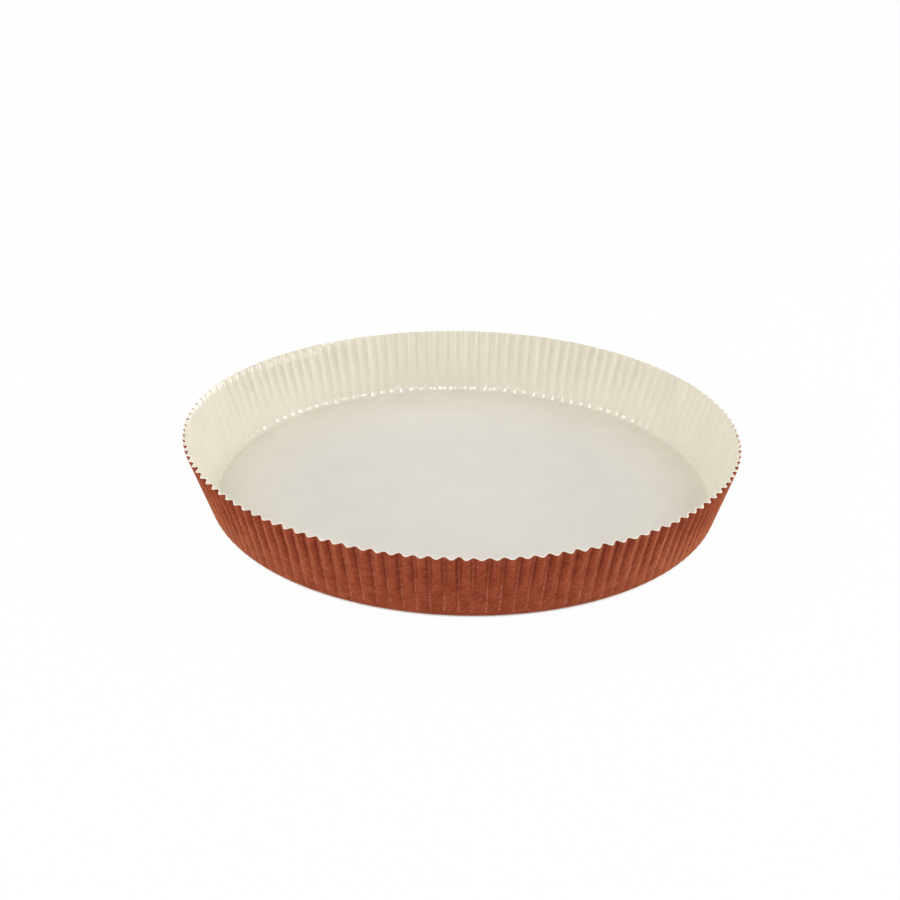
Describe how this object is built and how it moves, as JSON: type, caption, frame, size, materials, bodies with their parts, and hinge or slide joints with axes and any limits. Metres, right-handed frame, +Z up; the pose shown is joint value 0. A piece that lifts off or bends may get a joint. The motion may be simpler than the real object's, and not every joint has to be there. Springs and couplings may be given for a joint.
{
  "type": "paper tart mould",
  "caption": "Round shallow paper baking mould with a flat base, a leaning fluted wall and a scalloped cut rim, terracotta outside and glossy ivory inside.",
  "frame": {"origin": "middle of the underside of the flat base, on the table", "axes": "+Z up along the mould's axis, out of its open mouth; +X and +Y across the mouth, each through a crease of the rim"},
  "size_m": [0.24, 0.24, 0.0307],
  "materials": {
    "outer_ply": "pale paper printed matte terracotta on its outside, with visible fibres and a pale cut edge",
    "inner_ply": "smooth ivory greaseproof paper",
    "release_film": "clear glossy release film over the ivory paper"
  },
  "bodies": {
    "root": {"outer_ply": "outer_ply", "inner_ply": "inner_ply", "release_film": "release_film"}
  },
  "joints": []
}
